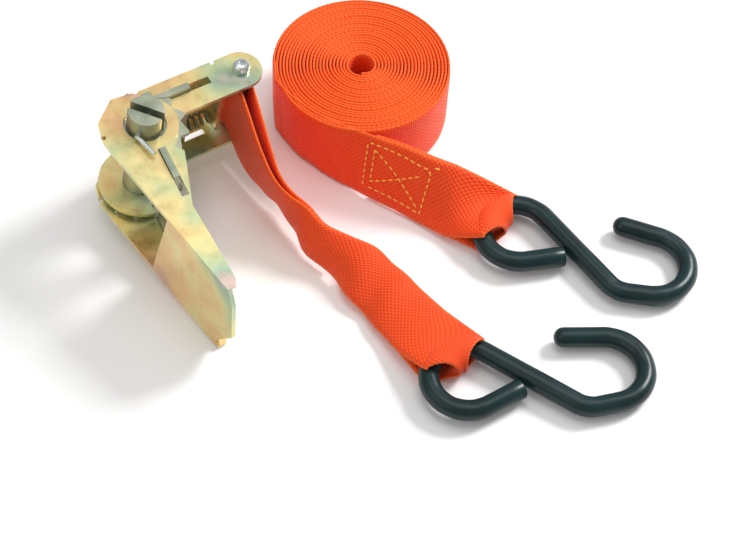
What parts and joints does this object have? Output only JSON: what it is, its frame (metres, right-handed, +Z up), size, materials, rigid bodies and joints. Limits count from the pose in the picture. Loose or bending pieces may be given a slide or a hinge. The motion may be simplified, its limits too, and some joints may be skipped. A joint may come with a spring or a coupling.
{
  "type": "ratchet strap",
  "caption": "Ratchet tie-down strap set: slotted-spool ratchet with lever, short webbing strap and rolled long strap, each ending in a dipped S-hook.",
  "frame": {"origin": "middle of the bounding box on the floor", "axes": "+X to the right along the layout's length, +Y away from the viewer, +Z up from the floor"},
  "size_m": [0.2034, 0.1596, 0.0525],
  "materials": {
    "yellow_zinc": "yellow passivated zinc plate, slightly iridescent",
    "clear_zinc": "dull zinc plate",
    "spring_steel": "drawn spring wire",
    "webbing": "woven polyester webbing",
    "thread": "sewing thread",
    "bare_wire": "steel wire under the coating",
    "vinyl": "glossy dipped vinyl"
  },
  "bodies": {
    "ratchet_frame": {"frame": "yellow_zinc", "strap_pin": "clear_zinc", "pin_sleeve": "clear_zinc", "pin_caps": "clear_zinc", "short_strap": "webbing", "lock_pawl_spring": "spring_steel"},
    "handle": {"handle": "yellow_zinc", "drive_pawl_spring": "spring_steel"},
    "spool": {"axle_half_a": "clear_zinc", "axle_half_b": "clear_zinc", "ratchet_wheel_upper": "clear_zinc", "ratchet_wheel_lower": "clear_zinc", "cotter_pins": "clear_zinc"},
    "lock_pawl": {"lock_pawl": "clear_zinc"},
    "drive_pawl": {"drive_pawl": "clear_zinc"},
    "short_hook": {"short_hook_core": "bare_wire", "short_hook_coating": "vinyl"},
    "long_strap": {"long_strap": "webbing", "long_strap_stitching": "thread"},
    "long_hook": {"long_hook_core": "bare_wire", "long_hook_coating": "vinyl"}
  },
  "joints": [
    {"name": "handle_swing", "type": "hinge", "parent": "ratchet_frame", "child": "handle", "pos_m": [-0.08492, -0.00046, 0.0261], "axis": [0.1175, -0.0679, 0.9907], "range_deg": [-96, 30]},
    {"name": "spool_turn", "type": "hinge", "parent": "ratchet_frame", "child": "spool", "pos_m": [-0.08492, -0.00046, 0.0261], "axis": [0.1175, -0.0679, 0.9907], "continuous": true},
    {"name": "lock_pawl_slide", "type": "slide", "parent": "ratchet_frame", "child": "lock_pawl", "axis": [0.7955, 0.6036, -0.053], "range_m": [0, 0.0045], "stiffness_N_per_m": 300, "springref_m": -0.004, "deforming": ["lock_pawl_spring"]},
    {"name": "drive_pawl_slide", "type": "slide", "parent": "handle", "child": "drive_pawl", "axis": [0.4991, -0.8585, -0.118], "range_m": [0, 0.0045], "stiffness_N_per_m": 300, "springref_m": -0.004, "deforming": ["drive_pawl_spring"]},
    {"name": "short_hook_swing", "type": "hinge", "parent": "ratchet_frame", "child": "short_hook", "pos_m": [0.02534, -0.06444, 0.00484], "axis": [0.0216, 0.0069, 0.9997], "range_deg": [-30, 4]},
    {"name": "long_strap_lift", "type": "slide", "parent": "ratchet_frame", "child": "long_strap", "axis": [0, 0, 1], "range_m": [0, 0.06]},
    {"name": "long_hook_swing", "type": "hinge", "parent": "long_strap", "child": "long_hook", "pos_m": [0.04088, -0.00485, 0.00484], "axis": [0.0227, -0.0013, 0.9997], "range_deg": [-4, 30]}
  ]
}
